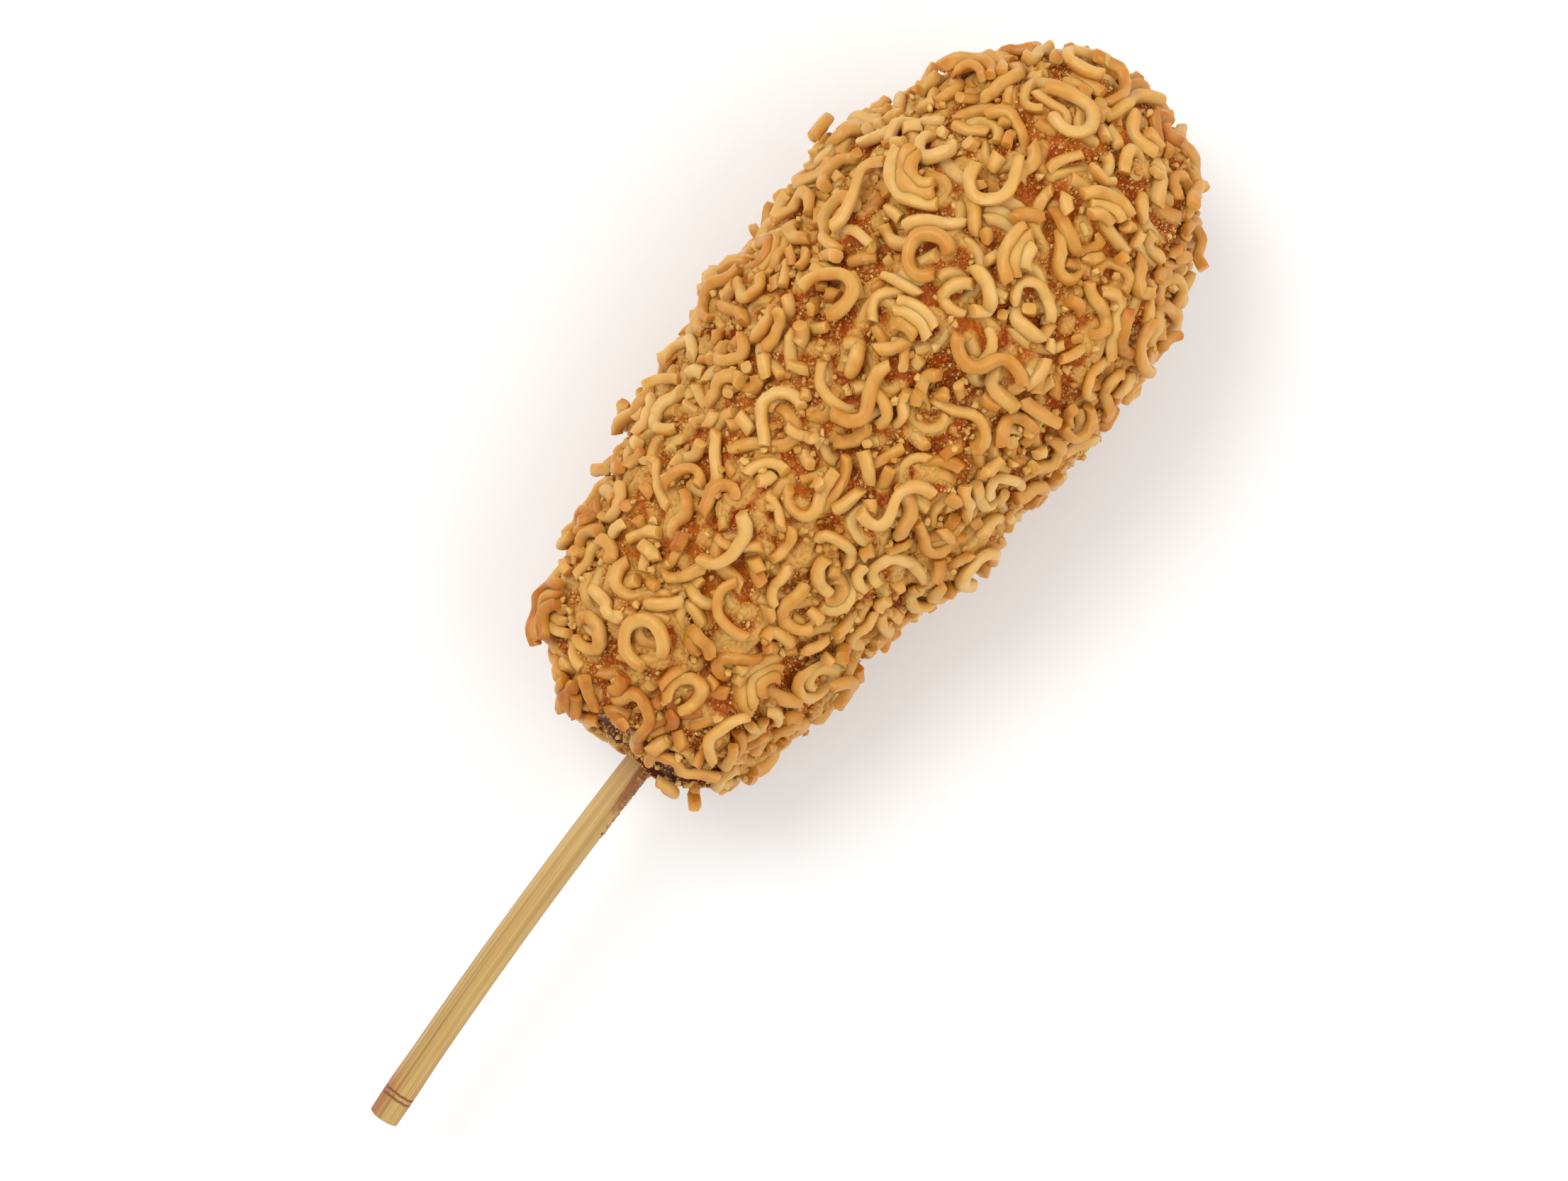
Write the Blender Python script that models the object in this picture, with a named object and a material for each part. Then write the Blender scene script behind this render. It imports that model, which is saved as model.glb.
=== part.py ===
"""A corn dog with a crust of broken fried noodles, lying on its side on a table.

The crusted body is one solid out to its uneven outline, bored for a bamboo skewer. The
curls and fused ribbons of noodle that stand proud of the crust are pieces of their own.
Metres, +Z up. The body's axis runs along +X, from the skewer's end to the tip.
"""

import math

import bmesh
import bpy
from mathutils import Matrix, Vector, noise
from mathutils.bvhtree import BVHTree
from mathutils.geometry import interpolate_bezier

MM = 0.001
CLEARANCE = 0.3 * MM  # between pieces that touch

# Body, measured along its axis from the end that the skewer leaves
BODY_LENGTH = 133 * MM
SHOULDER_AT = 25 * MM
SHOULDER_RADIUS = 24.9 * MM
GIRTH_AT = 88 * MM
GIRTH_RADIUS = 31.7 * MM
END_BLUNTNESS = 0.74  # of the shoulder's radius, at the skewer's end
DOME_FULLNESS = 0.51  # the tip's Bezier handles: 0.5523 would make a quarter circle
END_SHIFT = 5.2 * MM  # the skewer's end sits this far to -Y of the axis
END_BULGE = 2.6 * MM  # and bulges this far out along it
END_REACH = 35 * MM
TIP_SHIFT = 1.7 * MM  # the tip sits this far to -Y
TIP_REACH = 70 * MM
BODY_SUBDIVISIONS = 5

# Uneven outline: broad swells of the dough, and under its noodles ridges that wind about
SWELL_SIZE = 21 * MM
SWELL_HEIGHT = 1.6 * MM
RIDGE_SIZE = 8 * MM
RIDGE_HEIGHT = 3.4 * MM
RIDGE_SHARE = 0.22  # of the ridges' height that stands above the smooth body
RELIEF_START = Vector((-70.6, -41.6, 11.2)) * MM  # where in the noise the body lies

# Lying on the table: the body's thin end drops until its belly is level
LEAN = math.radians(4)
FLAT_DEPTH = 1.0 * MM

# Skewer: straight in the body, bowed outside it
SKEWER_DIAMETER = 5.0 * MM
SKEWER_EXPOSED = 71 * MM
SKEWER_BURIED = 109 * MM
SKEWER_OFFSET = 8.6 * MM  # to -Y, where it leaves the body
SKEWER_SLOPE = 0.03
SKEWER_BOW = 0.54  # sideways metres for each square metre of exposed length
SKEWER_STEP = 6 * MM
SKEWER_SIDES = 14
NODE_FROM_END = 4.5 * MM  # the bamboo's node, a slight swelling
NODE_WIDTH = 7 * MM
NODE_SWELLING = 0.06  # of the radius

# Noodle strands
STRAND_RADIUS = 1.05 * MM
STRAND_STEP = 1.9 * MM  # between the points of a strand's centre line
RIBBON_PITCH = 1.75 * MM  # between the fused strands of a ribbon
RIBBON_STRANDS = 3
RIBBON_RADIUS = 5.0 * MM  # of the ribbon's bend, at its middle
RIBBON_STEPS = 5
SCALLOP_POINTS = 4  # on each side of each strand of a ribbon
LIFT_STEP = 0.05 * MM

# A strand's bends in order: (radius, sweep in degrees)
BENDS = {
    "hook": ((3.4 * MM, 200), (9 * MM, 35)),
    "loop": ((3.3 * MM, 290),),
    "wave": ((3.0 * MM, 150), (3.0 * MM, -165)),
    "crook": ((2.9 * MM, 130), (7 * MM, -60)),
    "arch": ((4.6 * MM, 150),),
}
RIBBON_SWEEPS = {"nest": 150, "wedge": 85}

# Proud pieces: (form, along the body in mm, degrees round it from the top towards +Y, turn)
PROUD_NOODLES = (
    ("hook", 119, 15, -110),
    ("nest", 115, 54, 20),
    ("loop", 90, 12, 40),
    ("nest", 98, 30, 160),
    ("wedge", 99, -9, 110),
    ("wedge", 79, 4, 5),
    ("crook", 68, 1, -95),
    ("hook", 105, 14, 170),
    ("wedge", 110, -19, 15),
    ("crook", 90, 42, 100),
    ("hook", 76, 27, -60),
    ("wave", 58, -25, 70),
    ("wave", 84, -18, 20),
    ("arch", 38, 6, -80),
    ("loop", 18, 8, 10),
    ("arch", 30, -10, 150),
    ("arch", 14, -38, 120),
    ("nest", 12, 54, 70),
    ("wedge", 5, 28, 90),
    ("loop", 127, 32, 70),
    ("wedge", 63, 84, 0),
    ("arch", 94, 82, 10),
    ("arch", 29, -72, 0),
    ("loop", 58, -72, 30),
    ("crook", 122, -55, 60),
    ("arch", 100, -64, 160),
)


def remove_old_objects():
    for obj in list(bpy.data.objects):
        bpy.data.objects.remove(obj)


def new_collection(name):
    collection = bpy.data.collections.new(name)
    bpy.context.scene.collection.children.link(collection)
    return collection


def new_material(name, colour, roughness):
    material = bpy.data.materials.new(name)
    material.use_nodes = True
    shader = material.node_tree.nodes["Principled BSDF"]
    shader.inputs["Base Color"].default_value = (*colour, 1)
    shader.inputs["Roughness"].default_value = roughness
    shader.inputs["Metallic"].default_value = 0
    return material


def new_object(name, data, material, collection, parent):
    obj = bpy.data.objects.new(name, data)
    obj.data.materials.append(material)
    obj.parent = parent
    collection.objects.link(obj)
    return obj


# The smooth body under the crust's relief


def profile_curves():
    """The turned profile, (along, radius), as three Bezier curves from end to tip."""
    end = Vector((0, 0))
    shoulder = Vector((SHOULDER_AT, SHOULDER_RADIUS))
    girth = Vector((GIRTH_AT, GIRTH_RADIUS))
    tip = Vector((BODY_LENGTH, 0))
    dome = BODY_LENGTH - GIRTH_AT
    side = (GIRTH_AT - SHOULDER_AT) / 3
    rise = (GIRTH_RADIUS - SHOULDER_RADIUS) / 2
    return (
        (end, Vector((0, SHOULDER_RADIUS * END_BLUNTNESS)),
         shoulder - Vector((side * 0.7, rise * 0.5)), shoulder),
        (shoulder, shoulder + Vector((side, rise)), girth - Vector((side, 0)), girth),
        (girth, girth + Vector((dome * DOME_FULLNESS, 0)),
         Vector((BODY_LENGTH, GIRTH_RADIUS * DOME_FULLNESS)), tip),
    )


def profile_table(points_each=60):
    table = []
    for curve in profile_curves():
        flat = [point.to_3d() for point in curve]
        table += [point.to_2d() for point in interpolate_bezier(*flat, points_each)]
    return table


def radius_at(along, table):
    """The smooth body's radius, read from the profile."""
    for low, high in zip(table, table[1:]):
        if low.x <= along <= high.x and high.x > low.x:
            share = (along - low.x) / (high.x - low.x)
            return low.y + share * (high.y - low.y)
    return 0.0


def axis_point(along):
    """The centre line: straight in the middle, with both ends drifting to -Y."""
    end = max(0.0, 1 - along / END_REACH) ** 2
    tip = max(0.0, 1 - (BODY_LENGTH - along) / TIP_REACH) ** 2
    return Vector((along - END_BULGE * end, -END_SHIFT * end - TIP_SHIFT * tip, 0))


def leaning():
    """Turns the body's own frame so that its belly lies level."""
    return Matrix.Rotation(-LEAN, 4, "Y")


def shape_smooth_body(bm):
    """Draws a unit sphere out to the smooth body."""
    table = profile_table()
    for vert in bm.verts:
        along = BODY_LENGTH * (1 + vert.co.x) / 2
        across = Vector((0, vert.co.y, vert.co.z))
        radial = across.normalized() * radius_at(along, table)
        vert.co = axis_point(along) + radial
    bmesh.ops.transform(bm, matrix=leaning(), verts=bm.verts)
    bm.normal_update()


def relief_at(point):
    place = point + RELIEF_START
    swell = noise.noise(place / SWELL_SIZE) * SWELL_HEIGHT
    ridge = RIDGE_SHARE - abs(noise.noise(place / RIDGE_SIZE))
    return swell + ridge * RIDGE_HEIGHT


def cut_flat_spot(bm):
    """Takes the lowest skin off level, and returns the height of that flat spot."""
    level = min(vert.co.z for vert in bm.verts) + FLAT_DEPTH
    whole = bm.verts[:] + bm.edges[:] + bm.faces[:]
    bmesh.ops.bisect_plane(bm, geom=whole, plane_co=(0, 0, level), plane_no=(0, 0, -1),
                           dist=0.0001 * MM, clear_outer=True)
    rim = [edge for edge in bm.edges if edge.is_boundary]
    bmesh.ops.holes_fill(bm, edges=rim)
    return level


# The skewer


def skewer_line(start, stop):
    """Points on the skewer's centre line; below 0 it is outside the body, and bows."""
    steps = round((stop - start) / SKEWER_STEP)
    points = []
    for i in range(steps + 1):
        along = start + (stop - start) * i / steps
        outside = max(0.0, -along)
        across = -SKEWER_OFFSET + SKEWER_SLOPE * along - SKEWER_BOW * outside**2
        points.append(leaning() @ Vector((along, across, 0)))
    return points


def new_tube(name, points, radius, sides):
    """A closed round tube along a list of points, as curve data."""
    curve = bpy.data.curves.new(name, "CURVE")
    curve.dimensions = "3D"
    curve.bevel_depth = radius
    curve.bevel_resolution = sides // 2 - 2
    curve.use_fill_caps = True
    spline = curve.splines.new("POLY")
    spline.points.add(len(points) - 1)
    for target, point in zip(spline.points, points):
        target.co = (*point, 1)
    return curve


def make_skewer(material, collection, parent):
    points = skewer_line(-SKEWER_EXPOSED, SKEWER_BURIED)
    curve = new_tube("skewer", points, SKEWER_DIAMETER / 2, SKEWER_SIDES)
    for target, point in zip(curve.splines[0].points, points):
        from_node = abs(point.x - points[0].x - NODE_FROM_END) / NODE_WIDTH
        target.radius = 1 + NODE_SWELLING * max(0.0, 1 - from_node)
    return new_object("skewer", curve, material, collection, parent)


def make_bore_cutter(material, collection, parent):
    """The skewer's straight part with its clearance, running out past the body's end."""
    buried = skewer_line(0, SKEWER_BURIED)
    inwards = (buried[-1] - buried[0]).normalized()
    ends = [buried[0] - inwards * SKEWER_STEP, buried[-1] + inwards * CLEARANCE]
    radius = SKEWER_DIAMETER / 2 + CLEARANCE
    length = (ends[1] - ends[0]).length
    turn = inwards.to_track_quat("Z", "Y").to_matrix().to_4x4()
    bm = bmesh.new()
    bmesh.ops.create_cone(bm, cap_ends=True, segments=SKEWER_SIDES, radius1=radius,
                          radius2=radius, depth=length,
                          matrix=Matrix.Translation((ends[0] + ends[1]) / 2) @ turn)
    mesh = bpy.data.meshes.new("skewer_bore")
    bm.to_mesh(mesh)
    bm.free()
    cutter = new_object("skewer_bore", mesh, material, collection, parent)
    cutter.hide_render = True
    cutter.display_type = "WIRE"
    return cutter


# The crusted body


def make_crust(material, cutter, collection, parent):
    """The body out to its uneven outline. Returns search trees of its smooth and its lumpy
    surface, and the height of its flat spot."""
    bm = bmesh.new()
    bmesh.ops.create_icosphere(bm, subdivisions=BODY_SUBDIVISIONS, radius=1)
    shape_smooth_body(bm)
    smooth = BVHTree.FromBMesh(bm)
    for vert in bm.verts:
        vert.co += vert.normal * relief_at(vert.co)
    level = cut_flat_spot(bm)
    lumpy = BVHTree.FromBMesh(bm)
    mesh = bpy.data.meshes.new("noodle_crust")
    bm.to_mesh(mesh)
    bm.free()
    crust = new_object("noodle_crust", mesh, material, collection, parent)
    bore = crust.modifiers.new("bore", "BOOLEAN")
    bore.operation = "DIFFERENCE"
    bore.object = cutter
    return smooth, lumpy, level


# Proud noodles, each resting on the crust's high spots


def spot_on_body(along, around, turn, smooth):
    """A frame on the smooth body: Z outward, X along the body and then turned about Z."""
    angle = math.radians(around)
    outward = leaning().to_3x3() @ Vector((0, math.sin(angle), math.cos(angle)))
    centre = leaning() @ axis_point(along)
    point, normal, _, _ = smooth.ray_cast(centre + outward * BODY_LENGTH, -outward)
    side = normal.cross(Vector((1, 0, 0))).normalized()
    frame = Matrix((side.cross(normal), side, normal)).transposed().to_4x4()
    return Matrix.Translation(point) @ frame @ Matrix.Rotation(math.radians(turn), 4, "Z")


def strand_plan(bends):
    """A strand's centre line drawn flat as arcs that follow each other, centred on 0."""
    point, heading = Vector((0, 0)), 0.0
    line = [point.copy()]
    for radius, sweep in bends:
        steps = max(2, round(radius * math.radians(abs(sweep)) / STRAND_STEP))
        turn = math.radians(sweep) / steps
        for _ in range(steps):
            heading += turn / 2
            point = point + Vector((math.cos(heading), math.sin(heading))) * (
                radius * abs(turn))
            heading += turn / 2
            line.append(point.copy())
    middle = (Vector(map(min, zip(*line))) + Vector(map(max, zip(*line)))) / 2
    return [step - middle for step in line]


def clear_of(crust, point, distance):
    nearest, normal, _, gap = crust.find_nearest(point)
    return gap >= distance and (point - nearest).dot(normal) > 0


def lift_off(points, outward, distance, crust):
    """How far out along one direction the points must move to clear the crust."""
    lift = 0.0
    while not all(clear_of(crust, point + outward * lift, distance) for point in points):
        lift += LIFT_STEP
    return lift


def make_curl(name, bends, spot, smooth, lumpy, material, collection, parent):
    """One strand, laid along the smooth body and lifted clear of the crust."""
    outward = spot.to_3x3() @ Vector((0, 0, 1))
    laid = []
    for step in strand_plan(bends):
        above = spot @ step.to_3d() + outward * 2 * SHOULDER_RADIUS
        surface, normal, _, _ = smooth.ray_cast(above, -outward)
        laid.append(surface + normal * STRAND_RADIUS)
    middles = [(a + b) / 2 for a, b in zip(laid, laid[1:])]
    lift = lift_off(laid + middles, outward, STRAND_RADIUS + CLEARANCE, lumpy)
    points = [point + outward * lift for point in laid]
    curve = new_tube(name, points, STRAND_RADIUS, 8)
    return new_object(name, curve, material, collection, parent)


def ribbon_section():
    """Strands side by side and fused: a scalloped outline in the XZ plane."""
    half_width = RIBBON_PITCH * (RIBBON_STRANDS - 1) / 2
    notch = math.acos(RIBBON_PITCH / 2 / STRAND_RADIUS)
    top = []
    for strand in range(RIBBON_STRANDS):
        first = 0 if strand == 0 else notch
        last = math.pi if strand == RIBBON_STRANDS - 1 else math.pi - notch
        for i in range(SCALLOP_POINTS):
            if strand > 0 and i == 0:
                continue  # the notch that it shares with the strand before it
            angle = first + (last - first) * i / (SCALLOP_POINTS - 1)
            x = half_width - strand * RIBBON_PITCH + STRAND_RADIUS * math.cos(angle)
            top.append(Vector((x, 0, STRAND_RADIUS * math.sin(angle))))
    bottom = [Vector((point.x, 0, -point.z)) for point in top[-2:0:-1]]
    return top + bottom


def make_ribbon(name, sweep, spot, lumpy, material, collection, parent):
    """Fused strands, their section swept round the ribbon's bend."""
    bm = bmesh.new()
    shift = Vector((RIBBON_RADIUS, 0, 0))
    corners = [bm.verts.new(corner + shift) for corner in ribbon_section()]
    face = bm.faces.new(corners)
    bmesh.ops.spin(bm, geom=[face], cent=(0, 0, 0), axis=(0, 0, 1),
                   angle=math.radians(sweep), steps=RIBBON_STEPS)
    middle = Matrix.Rotation(math.radians(-sweep / 2), 4, "Z")
    centred = Matrix.Translation(-shift / 2) @ middle
    bmesh.ops.transform(bm, matrix=spot @ centred, verts=bm.verts)
    bmesh.ops.recalc_face_normals(bm, faces=bm.faces)
    outward = spot.to_3x3() @ Vector((0, 0, 1))
    points = [vert.co.copy() for vert in bm.verts]
    points += [(edge.verts[0].co + edge.verts[1].co) / 2 for edge in bm.edges]
    lift = lift_off(points, outward, CLEARANCE, lumpy)
    bmesh.ops.translate(bm, vec=outward * lift, verts=bm.verts)
    mesh = bpy.data.meshes.new(name)
    bm.to_mesh(mesh)
    bm.free()
    return new_object(name, mesh, material, collection, parent)


def make_proud_noodles(smooth, lumpy, material, collection, parent):
    for number, (form, along, around, turn) in enumerate(PROUD_NOODLES, start=1):
        name = f"noodle_{form}_{number:02d}"
        spot = spot_on_body(along * MM, around, turn, smooth)
        if form in BENDS:
            make_curl(name, BENDS[form], spot, smooth, lumpy, material, collection, parent)
        else:
            make_ribbon(name, RIBBON_SWEEPS[form], spot, lumpy, material, collection, parent)


def stand_on_ground(root, collection, level):
    """Moves everything so that the flat spot is at Z 0, under the middle of the whole."""
    bpy.context.view_layer.update()
    corners = [obj.matrix_world @ Vector(corner)
               for obj in collection.objects if obj.type != "EMPTY" for corner in obj.bound_box]
    low, high = Vector(map(min, zip(*corners))), Vector(map(max, zip(*corners)))
    root.location = (-(low.x + high.x) / 2, -(low.y + high.y) / 2, -level)


def main():
    remove_old_objects()
    parts = new_collection("corn_dog")
    cutters = new_collection("cutters")
    root = bpy.data.objects.new("corn_dog", None)
    parts.objects.link(root)

    fried_crust = new_material("fried_crust", (0.42, 0.19, 0.05), 0.45)
    fried_noodle = new_material("fried_noodle", (0.62, 0.37, 0.12), 0.4)
    bamboo = new_material("bamboo", (0.60, 0.40, 0.17), 0.55)

    make_skewer(bamboo, parts, root)
    cutter = make_bore_cutter(bamboo, cutters, root)
    smooth, lumpy, level = make_crust(fried_crust, cutter, parts, root)
    make_proud_noodles(smooth, lumpy, fried_noodle, parts, root)
    stand_on_ground(root, parts, level)


main()
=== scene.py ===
"""A corn dog in a crust of broken fried noodles, on its bamboo skewer, lying on a pale table.

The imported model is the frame. What it can't show is made here: the battered dough, the
hundreds of fried noodles that cover it, their crumbs, and the grain of the bamboo. Metres,
+Z up, the body along +X with its skewer towards -X.
"""

import math
import random

import bmesh
import bpy
import numpy as np
from mathutils import Euler, Matrix, Vector, noise
from mathutils.bvhtree import BVHTree
from mathutils.kdtree import KDTree


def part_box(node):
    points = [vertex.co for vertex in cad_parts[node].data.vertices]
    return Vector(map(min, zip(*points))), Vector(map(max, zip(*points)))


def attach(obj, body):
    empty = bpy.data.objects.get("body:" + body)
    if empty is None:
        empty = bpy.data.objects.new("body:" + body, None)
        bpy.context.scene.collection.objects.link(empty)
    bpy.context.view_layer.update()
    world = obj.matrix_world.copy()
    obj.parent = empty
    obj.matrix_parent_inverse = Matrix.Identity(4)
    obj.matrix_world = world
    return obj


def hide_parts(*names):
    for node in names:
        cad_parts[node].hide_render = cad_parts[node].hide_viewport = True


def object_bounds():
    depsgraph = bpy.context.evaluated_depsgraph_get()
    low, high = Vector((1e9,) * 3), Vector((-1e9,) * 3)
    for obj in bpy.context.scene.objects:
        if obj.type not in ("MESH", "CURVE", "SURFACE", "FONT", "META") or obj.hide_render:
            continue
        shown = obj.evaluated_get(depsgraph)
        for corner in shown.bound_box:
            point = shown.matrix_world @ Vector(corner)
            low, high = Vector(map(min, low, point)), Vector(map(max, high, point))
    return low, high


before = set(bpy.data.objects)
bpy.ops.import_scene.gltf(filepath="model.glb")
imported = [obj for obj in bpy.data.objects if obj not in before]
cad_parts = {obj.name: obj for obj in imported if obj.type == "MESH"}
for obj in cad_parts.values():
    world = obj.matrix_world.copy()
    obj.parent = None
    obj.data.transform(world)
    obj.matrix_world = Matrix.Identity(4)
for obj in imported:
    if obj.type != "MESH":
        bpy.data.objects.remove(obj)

cad_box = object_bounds()

# ---------------------------------------------------------------------------------------
# Skewer
# A round stick split from bamboo, so its fibres run lengthwise and catch the light as fine
# ridges. It is pushed through the dough before frying, and the stem's own node, two dark
# rings, is left near its free end. Oil has darkened it where it enters the body.

MM = 0.001
SHARP_TURN = math.radians(60)  # an edge that turns further shows as an edge
SKEWER_SIDES = 48
SKEWER_STEP = 0.7 * MM  # between the rings that it is drawn out in
RING_GAP = 2 * MM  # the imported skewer's own rings lie further apart than this
FIBRE_WIDTH = 0.45 * MM
FIBRE_LENGTH = 30 * MM
FIBRE_RELIEF = 0.06 * MM
FACETS = 1.7  # how fast the flats that splitting left change round the stick
FACET_RELIEF = 0.12 * MM
FACET_CUT = 0.6  # of that relief, taken off the whole stick
NODE_RINGS = (3.9 * MM, 4.8 * MM)  # from the free end
NODE_RING_WIDTH = 0.22 * MM
NODE_RING_DEPTH = 0.10 * MM
NODE_SWELLING = 0.15 * MM
NODE_REACH = 7 * MM
NODE_WAVER = 0.7 * MM  # the dark rings don't run straight across the fibres
END_CHAMFER = 0.35 * MM
STAIN_REACH = 40 * MM  # from the free end, over which its brown stains thin out
SCORCH_REACH = 9 * MM  # from the free end, which was singed on one side
OILED_REACH = 75 * MM  # from the free end to just inside the dough


def merged_copy(node):
    """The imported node's shape with its loose triangles joined."""
    bm = bmesh.new()
    bm.from_mesh(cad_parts[node].data)
    bmesh.ops.remove_doubles(bm, verts=bm.verts, dist=0.001 * MM)
    return bm


def hand_over(bm, name, material):
    """Makes a finished shape a piece that moves with the corn dog."""
    mesh = bpy.data.meshes.new(name)
    bm.to_mesh(mesh)
    bm.free()
    mesh.shade_smooth()
    mesh.set_sharp_from_angle(angle=SHARP_TURN)
    mesh.materials.append(material)
    piece = bpy.data.objects.new(name, mesh)
    bpy.context.scene.collection.objects.link(piece)
    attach(piece, "root")
    return piece


def srgb(red, green, blue):
    """A colour as the eye reads it, 0 to 255, in the linear values that shaders take."""
    parts = (red / 255, green / 255, blue / 255)
    return (*(p / 12.92 if p <= 0.04045 else ((p + 0.055) / 1.055) ** 2.4 for p in parts), 1)


def new_material(name):
    material = bpy.data.materials.new(name)
    material.use_nodes = True
    return material, material.node_tree, material.node_tree.nodes["Principled BSDF"]


def add(tree, kind, **values):
    """A shader node with some of its properties, or sockets by name, set or linked."""
    node = tree.nodes.new(kind)
    for name, value in values.items():
        socket = name.replace("_", " ")
        if hasattr(node, name):
            setattr(node, name, value)
        elif isinstance(value, bpy.types.NodeSocket):
            tree.links.new(value, node.inputs[socket])
        else:
            node.inputs[socket].default_value = value
    return node


def ramp(tree, factor, *stops):
    """Colours that follow a factor: (place, colour) stops."""
    node = tree.nodes.new("ShaderNodeValToRGB")
    elements = node.color_ramp.elements
    while len(elements) < len(stops):
        elements.new(0.5)
    for element, (place, colour) in zip(elements, stops):
        element.position = place
        element.color = colour
    tree.links.new(factor, node.inputs["Fac"])
    return node.outputs["Color"]


def rising(tree, factor, start, end, top=1.0):
    """A mask that rises from nothing, where the factor is start, to its top, at end."""
    return ramp(tree, factor, (start, (0, 0, 0, 1)), (end, (top, top, top, 1)))


def falling(tree, factor, start, end, least=0.0):
    """A mask that falls from full, where the factor is start, to its least, at end."""
    return ramp(tree, factor, (start, (1, 1, 1, 1)), (end, (least, least, least, 1)))


def mix(tree, factor, first, second, blend="MIX"):
    """One colour laid over another by a factor."""
    node = tree.nodes.new("ShaderNodeMix")
    node.data_type = "RGBA"
    node.blend_type = blend
    for socket, value in (("Factor_Float", factor), ("A_Color", first), ("B_Color", second)):
        target = next(i for i in node.inputs if i.identifier == socket)
        if isinstance(value, bpy.types.NodeSocket):
            tree.links.new(value, target)
        else:
            target.default_value = value
    return next(o for o in node.outputs if o.identifier == "Result_Color")


def maths(tree, operation, first, second=0.0):
    node = tree.nodes.new("ShaderNodeMath")
    node.operation = operation
    for target, value in zip(node.inputs, (first, second)):
        if isinstance(value, bpy.types.NodeSocket):
            tree.links.new(value, target)
        else:
            target.default_value = value
    return node.outputs[0]


def times(tree, first, second):
    return maths(tree, "MULTIPLY", first, second)


def cloud(tree, place, size, detail=2.0, stretch=(1, 1, 1)):
    """Soft noise whose blots are about one size across, in metres."""
    mapping = add(tree, "ShaderNodeMapping", Vector=place,
                  Scale=tuple(s / size for s in stretch))
    node = add(tree, "ShaderNodeTexNoise", Vector=mapping.outputs[0], Scale=1.0, Detail=detail)
    return node.outputs["Fac"]


def varied(tree, value, noisy, amount):
    """A value moved up and down by a noise, by at most half the amount."""
    return maths(tree, "ADD", value, times(tree, maths(tree, "SUBTRACT", noisy, 0.5), amount))


def bamboo_material():
    """Pale wood with darker fibres, stained, singed at its free end and oiled at its mouth."""
    material, tree, shader = new_material("bamboo")
    grain = add(tree, "ShaderNodeAttribute", attribute_name="grain").outputs["Vector"]
    parts = add(tree, "ShaderNodeSeparateXYZ", Vector=grain)
    along, aside = parts.outputs[0], parts.outputs[1]
    broad = cloud(tree, grain, 1.3 * MM, 2, (0.012, 1, 1))
    fine = cloud(tree, grain, 0.32 * MM, 3, (0.008, 1, 1))
    blotch = cloud(tree, grain, 3.2 * MM, 3, (0.16, 1, 1))
    wood = ramp(tree, broad, (0.30, srgb(164, 126, 62)), (0.50, srgb(191, 156, 92)),
                (0.72, srgb(207, 178, 116)))
    fibres = ramp(tree, fine, (0.36, srgb(176, 137, 82)), (0.52, srgb(255, 255, 255)))
    wood = mix(tree, 0.38, wood, fibres, "MULTIPLY")

    from_end = maths(tree, "DIVIDE", along, STAIN_REACH)
    stain = times(tree, rising(tree, blotch, 0.50, 0.68), falling(tree, from_end, 0.1, 0.75, 0.12))
    wood = mix(tree, times(tree, stain, 0.55), wood, srgb(176, 108, 44))
    from_end = maths(tree, "DIVIDE", along, SCORCH_REACH)
    to_side = maths(tree, "DIVIDE", aside, skewer_radius)
    scorch = times(tree, falling(tree, from_end, 0.45, 1.0), rising(tree, to_side, 0.1, 0.9))
    wood = mix(tree, times(tree, scorch, 0.75), wood, srgb(150, 74, 24))
    to_mouth = maths(tree, "DIVIDE", along, OILED_REACH)
    oiled = rising(tree, to_mouth, 0.80, 0.96)
    wood = mix(tree, times(tree, oiled, 0.55), wood, srgb(176, 122, 62))

    wavering = varied(tree, along, broad, NODE_WAVER)
    for ring in NODE_RINGS:
        away = maths(tree, "ABSOLUTE", maths(tree, "SUBTRACT", wavering, ring))
        band = falling(tree, maths(tree, "DIVIDE", away, 1.4 * NODE_RING_WIDTH), 0.35, 1.0)
        wood = mix(tree, times(tree, band, 0.9), wood, srgb(122, 50, 16))

    other_side = maths(tree, "DIVIDE", aside, -skewer_radius)
    film = times(tree, rising(tree, to_mouth, 0.76, 0.93), rising(tree, other_side, 0.0, 0.4))
    film = times(tree, film, maths(tree, "ADD", cloud(tree, grain, 1.4 * MM, 4), 0.5))
    wood = mix(tree, rising(tree, film, 0.30, 0.50, 0.9), wood, srgb(136, 78, 32))
    tree.links.new(wood, shader.inputs["Base Color"])
    tree.links.new(maths(tree, "ADD", times(tree, fine, 0.25), 0.40), shader.inputs["Roughness"])
    bump = add(tree, "ShaderNodeBump", Height=fine, Strength=0.35, Distance=0.12 * MM)
    tree.links.new(bump.outputs[0], shader.inputs["Normal"])
    return material


def skewer_rings():
    """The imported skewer's rings of corners, in order from its free end."""
    bm = merged_copy("skewer")
    corners = sorted((vert.co.copy() for vert in bm.verts), key=lambda co: co.x)
    bm.free()
    rings = [[corners[0]]]
    for corner in corners[1:]:
        if corner.x - rings[-1][-1].x > RING_GAP:
            rings.append([])
        rings[-1].append(corner)
    return rings


def stations(centres, step):
    """Frames at even places along a line of centres, each with Z along the line."""
    frames = []
    for start, end in zip(centres, centres[1:]):
        count = max(1, round((end - start).length / step))
        turn = (end - start).to_track_quat("Z", "Y").to_matrix().to_4x4()
        frames += [Matrix.Translation(start.lerp(end, i / count)) @ turn for i in range(count)]
    frames.append(Matrix.Translation(centres[-1]) @ turn)
    return frames


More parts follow.
